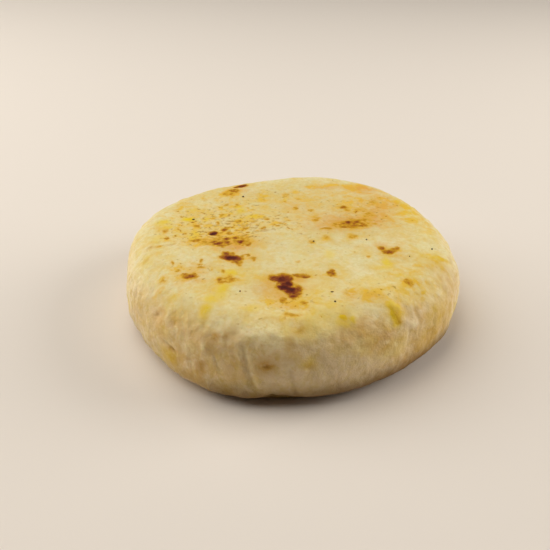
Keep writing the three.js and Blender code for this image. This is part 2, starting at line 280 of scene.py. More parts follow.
# Golden patches round the toasting: place, length, width, strength in per cent, and any turn
GOLDEN = (
    (16, 37.5, 14, 3.4, 90), (26, 36.8, 6, 6, 100), (7, 36, 5, 4, 70), (23, 33.5, 4, 4, 60),
    (2.5, 32.5, 3, 3, 50), (31, 21, 5, 7, 80), (34.6, 25.8, 6, 5, 80), (38.8, 20.6, 5, 8, 85),
    (38, 13.8, 12, 14, 60), (30, 27, 9, 5, 40), (25, 20, 22, 26, 42), (43.8, 6.5, 5, 14, 34),
    (22, 9, 20, 12, 30), (6, 18, 12, 26, 22), (12, 27, 32, 18, 12), (-20.5, 30.5, 7, 8, 70),
    (-9, 28.8, 3, 7, 90), (-1.5, 29, 2.6, 6, 55), (-36, 20.5, 6, 6, 55), (-28.5, 27, 4, 4, 40),
    (-22, 15, 5, 8, 40), (-20, 16, 34, 26, 20), (-12, 18.6, 3.4, 3.2, 50), (-10, 12.4, 4, 5, 50),
    (-15.6, 8.6, 4.2, 3.6, 70), (-14.5, 4.6, 4, 5, 50), (-4, 6.2, 5, 5, 50), (-34, 12, 14, 20, 25),
    (-29, 5.4, 4, 4, 50), (-39.5, 3.5, 4, 8, 50), (-37.6, -3, 4, 6, 40), (-39.6, -9.4, 2.4, 6, 50),
    (-21, -5, 20, 9, 50), (-29, -5.5, 8, 6, 40), (-17, -16, 10, 9, 30), (-32.6, -21.4, 6, 5, 60, -50),
    (-28.6, -26, 7, 5, 50), (-36.1, -25.6, 3.4, 3.6, 60), (-36.4, -29.6, 3, 3.4, 40),
    (-19, -27.6, 6, 5, 60), (-23, -32, 4, 4, 30), (-7, -38, 3, 4.4, 80), (-8.6, -38.6, 3, 3, 50),
    (-6.6, -28, 5, 7, 35), (-2, -39.8, 14, 6, 45), (1.5, -40.3, 5, 2, 60),
    (-0.5, -43.6, 4.6, 2.4, 85), (5, -36.5, 6, 7, 25), (10, -38.5, 6, 8, 5), (2.4, -25.4, 6, 4, 30),
    (10.8, -24.2, 7, 7, 40), (29, -24, 7, 6, 35), (6.1, -6.2, 2.6, 3.6, 55), (28.6, -10.2, 8, 6, 40),
    (10.4, -3.2, 4, 5, 35), (18.6, -2, 5, 5, 30), (22.2, -13.4, 1.6, 3.4, 35), (42.8, -12, 6, 2, 100),
    (41, -14, 6, 6, 40), (42.3, -16.4, 2.4, 3, 50), (26, -20, 4, 3.4, 30), (22.2, -34.6, 3.6, 4, 65),
    (19.6, -34.2, 3, 4, 55), (15, -34.2, 3.6, 5.4, 100), (18.6, -37.4, 4, 3, 50),
    (25.4, -31.4, 4, 3.4, 70), (29.7, -31.6, 4, 4, 70), (34.6, -30.2, 6, 3.4, 55, 20),
    (32, -27.2, 4.4, 3.4, 70), (36.7, -26.4, 5, 3.4, 35, 20), (28.2, -35.4, 3.2, 3.6, 60),
    (26.2, -36.8, 4, 3.4, 80), (27.6, -39.4, 4, 4, 30), (24, -34.6, 24, 8, 32, 4),
    (23, 36, 12, 6, 60), (14.2, -38.4, 3.4, 4, 40), (-2.5, -45.5, 13, 7, 35), (-0.3, 8.2, 5, 4, 40),
    (35, -21, 18, 15, 40), (-12.5, -25, 10, 8, 25), (-43, -2, 5, 18, 10), (36, -12, 14, 14, 12),
    (-24, 0, 18, 12, 30), (-28, -32, 8, 5, 25), (-31, -33, 14, 7, 12), (10.4, -25.8, 8, 6, 12),
    (-20, 18, 12, 10, 20),
)
# Where smoke from the fat has tanned the top, in the same terms
SMOKED = (
    (19.6, 8, 16, 8, 100, 8), (27, 17, 11, 12, 45), (9, 3, 10, 5, 35), (13, 14, 20, 12, 25),
    (-4, -30, 14, 12, 45), (-18, -8, 12, 6, 30),
)
# Where the face lay hardest on the griddle it has dried a little duller, in the same terms
DULLED = (
    (-1, 7, 86, 78, 65), (6, 30, 66, 24, 40), (20, 7, 22, 16, 35), (-22, -24, 26, 20, 25),
    (-7.6, -30, 9, 13, 60), (-17, -5, 18, 9, 50), (7.3, -46, 7, 3, 80),
)
# Tan hazes round the toasting, where the heat only dried the skin, in the same terms
HAZES = (
    (26, 35.4, 8, 8, 60), (14, 36, 14, 4, 30), (-18, 33.4, 9, 7, 45), (15, 8, 20, 12, 45),
    (30, 20, 12, 24, 42), (31, -6, 8, 14, 12), (-3, -46.6, 14, 4.6, 35), (-27.4, -27.6, 7, 3, 40),
    (-28.6, -24.6, 6, 3.6, 35), (15.2, -35, 3.6, 6, 35), (20.6, -34.6, 6, 4, 30),
    (26.4, 9.6, 5, 8, 40), (34.6, 22, 4, 7, 35), (27.4, -36.2, 1.8, 1.8, 60), (-15.4, -7.6, 8, 5, 30),
    (-2.5, -27.4, 7, 4.4, 35), (26.6, -6.8, 5, 3, 40), (-1, -40.6, 8, 4, 35), (2, -26.6, 5, 3, 50),
    (-7.6, -33, 6, 5, 12), (2, 20, 10, 8, 25), (-17, -9.4, 8, 4, 35), (-27, -21, 10, 6, 20),
    (-3, -30, 14, 13, 28), (-20, -5, 20, 8, 36), (16, 29, 32, 14, 12), (-16, -15.6, 9, 8, 20),
    (-3.2, -35.4, 4.4, 3.4, 45), (-6.4, -29.2, 3, 3, 35), (3.3, -31.5, 3.4, 3, 35),
)
# Yellow corn that shows through, in the same terms; past 100 it only stands out further
CORN = (
    (-22.9, -40.6, 2.6, 4, 80, -14), (-21.8, -36.8, 3.4, 3.8, 65, -16), (-19.2, -32.2, 3, 5, 70, -16),
    (-19.8, -35, 3.4, 4, 55, -16), (-17.3, -23.6, 3.4, 3.4, 70), (-18.6, -24.6, 1.6, 2.4, 50),
    (-17.8, -28.8, 3.4, 2, 40), (27, -17.4, 2.2, 4.6, 65), (26.2, -20.2, 3.2, 2.2, 40),
    (10.8, -13.6, 2.4, 5.4, 40), (-40.6, 8.8, 4, 3.4, 70), (-38.8, 5.8, 2.6, 3.4, 45),
    (-32.8, 11, 3.4, 2.4, 90), (-26.8, 10.4, 1.6, 2.6, 50), (-16, 16.6, 2.2, 3.6, 60),
    (-17.4, 19, 1.6, 2.6, 40), (-12, 11.8, 3.4, 2.4, 55), (-29.7, 0.9, 2.4, 3.2, 60),
    (-30, -1.6, 2.6, 2.4, 50), (-40.6, -2.2, 3, 4, 40), (-42.5, -13.8, 2, 3, 30),
    (-31.9, -33.8, 2.4, 1.8, 35), (-31.6, 17.8, 2.4, 2.2, 35), (26.4, -38.6, 2.5, 3.8, 150, -2),
    (26, -36.7, 2, 1.4, 100), (12.4, -43.8, 2, 1.3, 100), (15.1, -43.7, 1.5, 1.5, 80),
    (12.6, -44.9, 4, 1.8, 40), (42.4, -12.2, 6, 1.8, 45, 4), (-11, -41.4, 3.4, 2.4, 35),
    (29.4, -24, 3, 2, 25), (18.4, -33.8, 1.2, 2.2, 30), (24, -31, 20, 7, 12, 4),
    (-2.5, -47, 15, 5, 25), (-12.5, -25, 10, 7, 18), (12.4, -41, 8, 5, 18), (40, -14, 9, 8, 20),
    (38, 22, 6, 16, 20),
)
# Dull olive or tan stains of the wall, some of them painted shade near the foot and on the near right:
# bearing, height, length round, rise, and strength in per cent
WALL_STAINS_AND_SHADE = (
    (224.3, 18.1, 1.2, 1, 60), (232.2, 18.6, 1.2, 1, 60), (222, 9, 6, 5, 35), (230, 8, 5, 4, 40),
    (299, 13.8, 6, 2.6, 35), (321, 12, 15, 12, 40), (313, 6.5, 14, 6, 45), (308.6, 19.6, 2.4, 4, 40),
    (318, 10, 6, 6, 60), (286.4, 22.8, 3, 1.4, 50), (240, 20.6, 26, 4.6, 20), (290, 20.4, 26, 5, 22),
    (222, 17, 20, 8, 30), (243.4, 18.6, 3, 2.6, 35), (253.4, 13.5, 6, 10, 42),
    (244, 17.6, 9, 4.4, 55), (252.6, 20.6, 6, 2.8, 55), (262, 14.25, 4.2, 3.3, 92),
    (260.9, 14.4, 6.4, 4.4, 60), (243.2, 10.8, 2, 3, 70), (247, 19.4, 2.6, 2, 80),
    (250.2, 20.2, 1.8, 1.4, 80), (232.8, 11.6, 3.2, 1.2, 88), (232, 9.4, 5, 3.4, 50),
    (232.6, 18.6, 1.8, 1, 40), (234, 18.9, 8, 3.2, 54), (237.4, 13.1, 3, 3, 30),
    (335.5, 18.4, 10, 8, 30), (225, 18.2, 1.6, 1.2, 35), (273.8, 14.5, 1.8, 1.6, 50),
    (268.2, 19.4, 2.6, 2.4, 70), (271.6, 22.6, 1.6, 0.9, 70), (271.2, 21.9, 2.4, 1.3, 80),
    (297.4, 17, 1.6, 0.8, 40), (294, 18.2, 9, 3, 25), (298, 15, 6, 2.4, 25),
    (303.8, 20.4, 2.6, 3, 74), (303.6, 19.4, 1.8, 1, 88), (293, 16.4, 5, 3, 45),
    (296.5, 18.6, 5, 4, 35), (299, 16.5, 4, 3, 30), (271.5, 21.8, 5, 1.8, 45), (268, 18, 26, 3.6, 20),
    (284, 19.6, 8, 2.6, 30), (312.4, 19.9, 1.6, 1.2, 50), (311.4, 15, 2.4, 1.6, 30),
    (314.6, 10, 2.4, 3.6, 30), (347.4, 20.5, 3.4, 1, 40), (190.7, 23.8, 1.8, 0.5, 50),
    (199, 22.7, 2.2, 0.6, 40), (38, 13, 4, 2.4, 50), (61, 17, 2.4, 1.4, 40), (92, 9, 3.6, 2.4, 45),
    (124, 15, 2, 1.4, 70), (141, 11, 3.4, 2.6, 40), (168, 10, 3, 2, 40),
)
SCORCHED = (0.85, 0.97)  # levels, up to 1, between which a stain turns from olive to scorched brown
# Warm tan blushes of the wall, some of them painted shade near the foot and on the near right, in the
# same terms
WALL_BLUSHES_AND_SHADE = (
    (287, 20, 10, 3.6, 45), (337, 19.4, 10, 7, 35), (298.3, 15.4, 1.6, 1.4, 100),
    (291.6, 19.4, 7, 5, 80), (312, 6.5, 26, 8, 50), (240, 8, 12, 12, 45), (262, 18.5, 24, 4, 25),
    (296, 16.8, 11, 6, 60), (314, 18.6, 6, 5, 35), (243, 11, 6, 6, 50), (236, 9, 8, 7, 35),
    (226, 17.7, 7, 4, 50), (235, 19.8, 9, 3.6, 50), (231, 13.5, 8, 5, 50), (309, 12, 7, 5, 40),
    (331, 14, 10, 6, 30), (210, 12, 8, 8, 35), (20, 12, 12, 7, 50), (75, 14, 9, 6, 50),
    (110, 10, 12, 7, 40), (152, 14, 10, 6, 50),
)

# Paler, less yellow places of the wall, where the meal dust has stayed, in the same terms
WALL_ASHEN = (
    (283, 10, 30, 13, 90), (264, 10.5, 5, 5, 70), (246.5, 18.2, 8, 3, 70), (299, 17, 8, 3.6, 60),
    (311.5, 18, 8, 4, 70), (232, 12.5, 6, 3, 60), (208, 10, 8, 6, 50), (30, 14, 16, 5, 70),
    (88, 13, 20, 9, 70), (135, 9, 14, 6, 60), (176, 12, 10, 8, 60),
)

# Pale crumbs and ridges of the wall and its lip, some of them painted highlights on the lip and on the
# lit banks of creases, in the same terms
WALL_CRUMBS_AND_HIGHLIGHTS = (
    (256, 21.7, 4, 1.4, 90), (260, 22.2, 4, 1.2, 100), (264, 22.6, 3.4, 1.2, 80),
    (269, 22.9, 6, 1.2, 60), (244.2, 16.6, 1.2, 1.8, 100), (257.8, 15.5, 2.2, 9, 40),
    (263.3, 22.7, 1.4, 0.9, 100), (262, 19.6, 13, 3, 35), (261.5, 21.8, 8, 2.4, 95),
    (277.5, 21.8, 6, 2, 45), (292, 22.2, 5, 2, 30), (290, 16.9, 5, 4, 35), (308, 22.8, 7, 2.4, 30),
    (255.6, 18, 2, 4, 60), (298, 12.6, 5, 2, 40), (309, 17.3, 2, 1.4, 80), (298, 15.8, 1.6, 1.4, 70),
    (301, 14.2, 1.2, 1.2, 80), (233.8, 18.1, 1.1, 0.8, 60), (231.5, 13.6, 4, 2.6, 50),
    (239.5, 14.6, 4, 3, 50), (236, 19, 3, 2, 40), (231, 15.5, 3, 1.6, 35), (200, 14, 1.6, 8, 50),
)

# Yellow corn in the wall, in the same terms
WALL_CORN = (
    (299, 13.4, 9, 5, 30), (322, 14.5, 9, 7, 25), (291, 16.8, 6, 5, 30), (317, 9, 8, 5, 20),
    (273, 14.9, 2.8, 2.4, 45), (231.5, 9.2, 5, 4.6, 48), (229, 15.6, 4, 3, 20),
    (277, 22.6, 16, 3, 28), (233, 20.4, 10, 3, 20), (300, 19.2, 4.4, 2.2, 22),
    (266.5, 22.4, 6, 2, 22), (62, 12, 8, 5, 25), (148, 14, 6, 4, 30),
)

# Painted shade on the foot: the dough is drawn darker towards the floor, most on the near side
FOOT_PAINTED_SHADE = (3, 10)  # heights between which the painted shade of the foot fades out
FOOT_SHADE_SIDE = 292  # bearing round which the foot's painted shade is darkest
FOOT_SHADE_SPREAD = (40, 56)  # how far from there, in degrees, that ends
FOOT_SHADE_ELSEWHERE = 0.3

# The underside is toasted as the top is, by a seeded draw
UNDERSIDE_SEED = 23
UNDERSIDE_MARKS = 60
UNDERSIDE_REACH = 42
UNDERSIDE_SIZES = (1.2, 7)
UNDERSIDE_LENGTHS = (0.9, 1.6)  # in shares of the mark's size
UNDERSIDE_WIDTHS = (0.5, 0.9)
UNDERSIDE_LARGE = 3.5  # a mark larger than this is browned and never charred
UNDERSIDE_LARGE_LEVELS = (25, 60)  # how far it is toasted, in per cent
UNDERSIDE_SMALL_LEVELS = (35, 100)
UNDERSIDE_FRECKLED = 0.5
UNDERSIDE_GOLDEN = 0.4

# Heights between which each look fades in
ON_TOP = (12, 19)  # the marks of the top face
GRIDDLED = (19, 23.5)  # what the griddle does to all of the top face
OFF_UNDERSIDE = (0.5, 4.5)  # the underside's own looks fade out here
ON_SIDE = (1, 4)  # the bare wall
OFF_SIDE = (17, 24)  # which fades out here

MARK_WARP = ((2.2, 0.5), (0.8, 0.28))  # size and shift, in mm, that make a mark's edge ragged
WARP_SEED = 3  # Blender's vector noise is drawn from the clock, and changes each run, unless it is seeded
MARK_FALL = 0.4  # a mark is two thirds as toasted at its edge as in its middle, and fades from there
GLOW_REACH = 1.9  # how far the golden glow round a mark goes, in shares of the mark
GLOW_LEVEL = 0.5

# The foot's ramp runs from the edge of the flat underside and just touches the foot's round
FOOT_SLOPE = math.atan2(FOOT_EDGE, FOOT_REACH - FOOT_ROUND) - math.asin(
    FOOT_ROUND / math.hypot(FOOT_EDGE, FOOT_REACH - FOOT_ROUND)
)
FOOT_RAMP_RISE = FOOT_EDGE - FOOT_ROUND * math.cos(FOOT_SLOPE)

TO_METRES = 0.001
DEGREE = math.pi / 180
QUARTER_TURN = math.pi / 2


def smooth_step(share, start=0, end=1):
    held = np.clip((share - start) / (end - start), 0, 1)
    return held * held * (3 - 2 * held)


def turn_between(bearing, other):
    """Shortest way round from one bearing to another, in degrees."""
    return (bearing - other + 180) % 360 - 180


# --- The plain profile, as the solid has it ---


def outline(bearing):
    stretch = 1
    for times, share, fullest in LOBES:
        stretch = stretch + share * np.cos(times * (bearing - fullest) * DEGREE)
    return RADIUS * stretch


def wall_radius(bearing, height):
    away = (np.minimum(height, THICKNESS) - FULLEST_HEIGHT) / (THICKNESS - FULLEST_HEIGHT)
    return outline(bearing) - BARREL * away * away


def shoulder_inset(bearing):
    return SHOULDER_INSET + SHOULDER_SWAY * np.cos((bearing - SHOULDER_WIDEST) * DEGREE)


def underside(bearing, share):
    return (wall_radius(bearing, 0) - FOOT_REACH) * share, 0 * share, 0 * share - QUARTER_TURN


def foot_ramp(bearing, share):
    """From the edge of the flat underside straight up and out to where the foot's round starts."""
    up = FOOT_RAMP_RISE * share
    out = wall_radius(bearing, up) - FOOT_REACH + up / math.tan(FOOT_SLOPE)
    return out, up, 0 * share + FOOT_SLOPE - QUARTER_TURN


def foot_round(bearing, share):
    lean = (FOOT_SLOPE - QUARTER_TURN) * (1 - share)
    up = FOOT_EDGE + FOOT_ROUND * np.sin(lean)
    return wall_radius(bearing, up) - FOOT_ROUND * (1 - np.cos(lean)), up, lean


def wall(bearing, share):
    up = FOOT_EDGE + (THICKNESS - SHOULDER_DROP - FOOT_EDGE) * share
    return wall_radius(bearing, up), up, 0 * share


def shoulder(bearing, share):
    angle = QUARTER_TURN * share
    up = THICKNESS - SHOULDER_DROP * (1 - np.sin(angle))
    return wall_radius(bearing, up) - shoulder_inset(bearing) * (1 - np.cos(angle)), up, angle


def top(bearing, share):
    inward = 1 - share
    out = (wall_radius(bearing, THICKNESS) - shoulder_inset(bearing)) * inward
    return out, THICKNESS + CROWN * (1 - inward * inward), 0 * share + QUARTER_TURN


# Parts of the skin from the middle of the underside to the middle of the top, each with its share
# of the way along
SKIN = (
    (underside, 0.22),
    (foot_ramp, 0.04),
    (foot_round, 0.04),
    (wall, 0.08),
    (shoulder, 0.12),
    (top, 0.5),
)


def profile(bearing, way):
    """Distance from the middle, height, and lean of the skin's normal at each bearing and way."""
    out = np.zeros_like(way)
    up = np.zeros_like(way)
    lean = np.zeros_like(way)
    start = 0
    for part, share in SKIN:
        here = (way >= start - 1e-9) & (way <= start + share + 1e-9)
        out[here], up[here], lean[here] = part(bearing[here], np.clip((way[here] - start) / share, 0, 1))
        start += share
    return out, up, lean


# --- Relief that the solid has too ---


def stray(amount, beat, index):
    return amount * math.sin(beat * index)


def far_creases():
    creases = []
    step = (FAR_LAST - FAR_FIRST) / (FAR_CREASES - 1)
    for index in range(FAR_CREASES):
        bearing = FAR_FIRST + step * index + stray(*FAR_BEARING, index)
        creases.append((
            bearing,
            FAR_UPPER[0] + stray(*FAR_UPPER[1:], index),
            bearing + stray(*FAR_LEAN, index),
            FAR_LOWER[0] + stray(*FAR_LOWER[1:], index),
            FAR_DEPTH[0] + stray(*FAR_DEPTH[1:], index),
            FAR_HALF_WIDTH,
        ))
    return creases


def crease_reach(crease, bearing, height):
    """Distance from the middle of a crease in shares of its half width, at each point of the wall."""
    upper, upper_height, lower, lower_height, depth, half_width = crease
    across = turn_between(bearing, upper) * DEGREE * RADIUS
    up = height - upper_height
    run_across = turn_between(lower, upper) * DEGREE * RADIUS
    run_up = lower_height - upper_height
    nearest = np.clip((across * run_across + up * run_up) / (run_across**2 + run_up**2), 0, 1)
    distance = np.hypot(across - nearest * run_across, up - nearest * run_up)
    return distance / (half_width * CREASE_WIDTH_SHARE)


def crease_relief(crease, bearing, height):
    reach = crease_reach(crease, bearing, height)
    bank = BANK * np.exp(-((reach - BANK_DISTANCE) ** 2))
    return crease[4] * CREASE_DEPTH_SHARE * (bank - np.exp(-(reach**2)))


def painted_crease_shade(bearing, height):
    """How dark the painted shade in the bottom of the creases is, from 0 to 1."""
    level = np.zeros_like(height)
    for crease in (*CREASES, *far_creases()):
        reach = crease_reach(crease, bearing, height)
        level = np.maximum(level, crease[4] * np.exp(-CREASE_SHADE_FALL * reach**2))
    return level


def swell_relief(swell, bearing, height):
    middle, middle_height, spread, rise, out = swell
    across = turn_between(bearing, middle) * DEGREE * RADIUS / spread
    up = (height - middle_height) / rise
    return out * np.exp(-(across**2) - up**2)


def waves(x, y, z, length):
    total = 0
    for direction, phase in WAVES:
        along = x * direction[0] + y * direction[1] + z * direction[2]
        total = total + np.sin(2 * math.pi * along / length + phase)
    return total / len(WAVES)


def coarse_relief(bearing, out, up, lean):
    """How far the skin stands out from the plain profile: the relief of the solid."""
    x = out * np.cos(bearing * DEGREE)
    y = out * np.sin(bearing * DEGREE)
    lift = 0
    for length, height in SKIN_WAVES:
        lift = lift + height * waves(x, y, up, length)
    on_wall = smooth_step(np.cos(np.maximum(lean, 0)) / WALL_FADE)
    for crease in (*CREASES, *far_creases()):
        lift = lift + on_wall * crease_relief(crease, bearing, up)
    for swell in SWELLS:
        lift = lift + on_wall * swell_relief(swell, bearing, up)
    return lift * smooth_step(up / REST_RISE)


# --- Finer relief ---


def noise_at(points, size):
    """Smooth noise, between about -1 and 1, at each point, with features of that size."""
    return np.array([noise.noise(Vector(point) / size) for point in points])


def shift_at(points, size):
    """A smoothly varying shift at each point."""
    noise.seed_set(WARP_SEED)
    return np.array([noise.noise_vector(Vector(point) / size)[:] for point in points])


def pits(points, spacing, radius):
    """Depth, from 0 to 1, of the pore nearest each point: only some cells have one."""
    depth = np.zeros(len(points))
    for index, point in enumerate(points):
        distances, centres = noise.voronoi(Vector(point) / spacing)
        size = SMALLEST_PIT + (1 - SMALLEST_PIT) * abs(noise.cell(centres[0] * SIZE_SCALE))
        size *= radius
        if noise.cell(centres[0] * CHANCE_SCALE) > PITTED_ABOVE:
            depth[index] = math.exp(-((distances[0] * spacing / size) ** 2))
    return depth


def fine_relief(points, up, lean):
    on_wall = np.clip(np.cos(lean), 0, 1)
    lift = 0
    for size, wall_height, top_height in SKIN_LUMPS:
        lift = lift + (top_height + (wall_height - top_height) * on_wall) * noise_at(points, size)
    on_lip = np.exp(-(((up - LIP_HEIGHT) / LIP_RISE) ** 2))
    for size, height in LIP_LUMPS:
        lift += height * on_lip * noise_at(points + size, size)
    upright = points / np.array((WRINKLE_SPACING, WRINKLE_SPACING, WRINKLE_REACH))
    bearing = np.degrees(np.arctan2(points[:, 1], points[:, 0]))
    beside = turn_between(bearing, WRINKLED_SIDE) / WRINKLED_SPREAD
    depth = WRINKLE_DEPTH + (WRINKLED_DEPTH - WRINKLE_DEPTH) * np.exp(-(beside**2))
    lift += on_wall * depth * noise_at(upright, 1)
    pit_share = PIT_DEPTH_ON_TOP + (1 - PIT_DEPTH_ON_TOP) * on_wall
    lift -= pit_share * PIT_DEPTH * pits(points, PIT_SPACING, PIT_RADIUS)
    return lift * smooth_step(up / REST_RISE)


# --- Toasting ---


def patch_reaches(x, y, patches):
    """The strength of each patch, with how far each point is from its middle in shares of its reach."""
    for middle_x, middle_y, long, wide, strength, *turn in patches:
        across, deep = x - middle_x, y - middle_y
        angle = sum(turn) * DEGREE
        cosine, sine = math.cos(angle), math.sin(angle)
        along = (across * cosine + deep * sine) / (long / 2)
        beside = (deep * cosine - across * sine) / (wide / 2)
        yield strength / 100, np.hypot(along, beside)


def underside_marks(seed):
    draw = random.Random(seed)
    marks = []
    for _ in range(UNDERSIDE_MARKS):
        angle = draw.uniform(0, 2 * math.pi)
        reach = UNDERSIDE_REACH * math.sqrt(draw.random())
        size = draw.uniform(*UNDERSIDE_SIZES)
        levels = UNDERSIDE_LARGE_LEVELS if size > UNDERSIDE_LARGE else UNDERSIDE_SMALL_LEVELS
        level = draw.uniform(*levels)
        marks.append((
            reach * math.cos(angle),
            reach * math.sin(angle),
            size * draw.uniform(*UNDERSIDE_LENGTHS),
            size * draw.uniform(*UNDERSIDE_WIDTHS),
            level,
            draw.uniform(-90, 90),
        ))
    return marks


def toasting(x, y, marks):
    """How far each point is toasted by the marks that reach it, and the golden glow round them."""
    level = np.zeros_like(x)
    glow = np.zeros_like(x)
    for strength, reach in patch_reaches(x, y, marks):
        level = np.maximum(level, strength * np.exp(-MARK_FALL * reach**3))
        glow = np.maximum(glow, strength * np.exp(-((reach / GLOW_REACH) ** 2)))
    return level, GLOW_LEVEL * glow


def soft_patches(x, y, patches):
    """Soft patches, which add up where they meet."""
    level = np.zeros_like(x)
    for strength, reach in patch_reaches(x, y, patches):
        level += strength * np.exp(-(reach**2))
    return np.minimum(level, 1)


def wall_patches(bearing, up, patches):
    """Patches placed by bearing and height on the wall."""
    level = np.zeros_like(up)
    for middle, height, long, rise, strength in patches:
        across = turn_between(bearing, middle) * DEGREE * RADIUS / (long / 2)
        reach = np.hypot(across, (up - height) / (rise / 2))
        level = np.maximum(level, strength / 100 * np.exp(-MARK_FALL * reach**3))
    return level


def painting(points, up, bearing):
    """What each point of the skin shows, most of it from 0 to 1: toasting, gold, corn and the rest."""
    warp = sum(shift * shift_at(points, size) for size, shift in MARK_WARP)
    x, y = points[:, 0] + warp[:, 0], points[:, 1] + warp[:, 1]
    above = smooth_step(up, *ON_TOP)
    griddled = smooth_step(up, *GRIDDLED)
    below = 1 - smooth_step(up, *OFF_UNDERSIDE)
    toast, glow = toasting(x, y, TOASTED)
    under_toast, under_glow = toasting(x, y, underside_marks(UNDERSIDE_SEED))
    wall_bearing, wall_up = bearing + warp[:, 0], up + warp[:, 1]
    freckled = griddled * np.minimum(soft_patches(x, y, FRECKLED) + FRECKLED_EVERYWHERE, 1)
    freckled += below * UNDERSIDE_FRECKLED
    bar = FRECKLE_BAR[0] + (FRECKLE_BAR[1] - FRECKLE_BAR[0]) * smooth_step(freckled)
    golden = above * np.minimum(soft_patches(x, y, GOLDEN) + glow, 1) + GOLDEN_EVERYWHERE * griddled
    golden += below * np.minimum(under_glow + UNDERSIDE_GOLDEN, 1) + FRECKLES_GILD * freckled
    # stains, and painted shade near the foot and on the near right
    stain_and_shade = wall_patches(wall_bearing, wall_up, WALL_STAINS_AND_SHADE)
    # the foot's painted shade is full on the near side and weaker elsewhere
    aside = smooth_step(np.abs(turn_between(bearing, FOOT_SHADE_SIDE)), *FOOT_SHADE_SPREAD)
    shade_round = 1 + (FOOT_SHADE_ELSEWHERE - 1) * aside
    return {
        "toast": above * toast + below * under_toast,
        "golden": golden,
        "freckle_bar": 1 + (bar - 1) * smooth_step(freckled, 0, FRECKLES_FADE),
        "haze": above * soft_patches(x, y, HAZES),
        "dulled": griddled * soft_patches(x, y, DULLED),
        "corn": above * toasting(x, y, CORN)[0] + wall_patches(wall_bearing, wall_up, WALL_CORN),
        "stain_and_shade": stain_and_shade,
        "scorched": smooth_step(stain_and_shade, *SCORCHED),
        # blushes and smoked patches, with painted shade near the foot and on the near right
        "blush_and_shade": wall_patches(wall_bearing, wall_up, WALL_BLUSHES_AND_SHADE) + above * soft_patches(x, y, SMOKED),
        # pale crumbs, and painted highlights on the lip and beside creases
        "crumb_and_highlight": wall_patches(wall_bearing, wall_up, WALL_CRUMBS_AND_HIGHLIGHTS),
        "ashen": wall_patches(wall_bearing, wall_up, WALL_ASHEN),
        "side": smooth_step(up, *ON_SIDE) * (1 - smooth_step(up, *OFF_SIDE)),
        # painted shade on the foot
        "foot_painted_shade": shade_round * (1 - smooth_step(wall_up, *FOOT_PAINTED_SHADE)),
        # painted shade in the bottoms of the creases
        "crease_painted_shade": painted_crease_shade(bearing, up),
    }


# --- The cake ---


def ball_of_a_cube():
    """A cube cut into a fine grid and swollen into a ball, which has no crowded poles."""
    grid = bmesh.new()
    bmesh.ops.create_cube(grid, size=2)
    bmesh.ops.subdivide_edges(grid, edges=grid.edges, cuts=GRID - 1, use_grid_fill=True)
    for vertex in grid.verts:
        even = [math.tan(part * math.pi / 4) for part in vertex.co]
        vertex.co = Vector(even).normalized()
    return grid


def make_cake():
    """The cake's mesh in millimetres, with its toasting as levels at its points, and their names."""
    skin = ball_of_a_cube()
    ball = np.array([vertex.co[:] for vertex in skin.verts], float)
    bearing = np.degrees(np.arctan2(ball[:, 1], ball[:, 0])) % 360
    way = 1 - np.arccos(np.clip(ball[:, 2], -1, 1)) / math.pi
    out, up, lean = profile(bearing, way)
    lift = coarse_relief(bearing, out, up, lean)
    for lump in LUMPS:
        lift += swell_relief(lump, bearing, up) * smooth_step(up / REST_RISE)
    outward = np.stack((np.cos(bearing * DEGREE), np.sin(bearing * DEGREE), 0 * up), 1)
    upward = np.array((0, 0, 1))
    normal = outward * np.cos(lean)[:, None] + upward * np.sin(lean)[:, None]
    points = outward * out[:, None] + upward * up[:, None] + normal * lift[:, None]
    points[:, :2] -= (points.min(0) + points.max(0))[:2] / 2

    painted = painting(points, up, bearing)
    lift = fine_relief(points, up, lean)
    lift += KERNEL_RISE * painted["corn"] - CHAR_DROP * smooth_step(painted["toast"], *CHARRED)
    points += normal * lift[:, None]
    points[:, 2] = np.maximum(points[:, 2], 0)
    for vertex, place in zip(skin.verts, points):
        vertex.co = place
    bmesh.ops.recalc_face_normals(skin, faces=skin.faces)
    mesh = bpy.data.meshes.new("cake")
    skin.to_mesh(mesh)
    skin.free()
    mesh.polygons.foreach_set("use_smooth", [True] * len(mesh.polygons))
    for name, level in painted.items():
        layer = mesh.attributes.new(name, "FLOAT", "POINT")
        layer.data.foreach_set("value", level.astype(np.float32))
    return mesh, list(painted)


def make_hulls(cake):
    """Flat bits of hull, each half sunk in the cake's skin, joined in one mesh."""
    hulls = bmesh.new()
    for across, deep, long, wide, turn in HULLS:
        above = Vector((across, deep, 2 * THICKNESS)) * TO_METRES
        place = cake.ray_cast(above, Vector((0, 0, -1)))[1]
        size = Vector((long, wide, HULL_THICKNESS)) * TO_METRES
        bmesh.ops.create_uvsphere(
            hulls,
            u_segments=HULL_SIDES,
            v_segments=HULL_SIDES // 2,
            radius=0.5,
            matrix=Matrix.LocRotScale(place, Euler((0, 0, turn * DEGREE)), size),
        )
    mesh = bpy.data.meshes.new("hulls")
    hulls.to_mesh(mesh)
    hulls.free()
    mesh.polygons.foreach_set("use_smooth", [True] * len(mesh.polygons))
    return mesh


def fit_to_node(mesh, node):
    """Moves and stretches the mesh, by a hair, to fill the box of the solid that it stands for."""
    low, high = (np.array(corner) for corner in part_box(node))
    points = np.zeros(len(mesh.vertices) * 3, np.float32)
    mesh.vertices.foreach_get("co", points)
    points = points.reshape(-1, 3)
    own_low, own_high = points.min(0), points.max(0)
    points = low + (points - own_low) * (high - low) / (own_high - own_low)
    mesh.vertices.foreach_set("co", points.astype(np.float32).ravel())
    mesh.update()


# --- Materials ---


def linear(hex_colour):
    """A colour as printed, such as "dcc68a", as the linear values that shaders take."""
    parts = [int(hex_colour[index:index + 2], 16) / 255 for index in (0, 2, 4)]
    return [part / 12.92 if part <= 0.04045 else ((part + 0.055) / 1.055) ** 2.4 for part in parts] + [1]


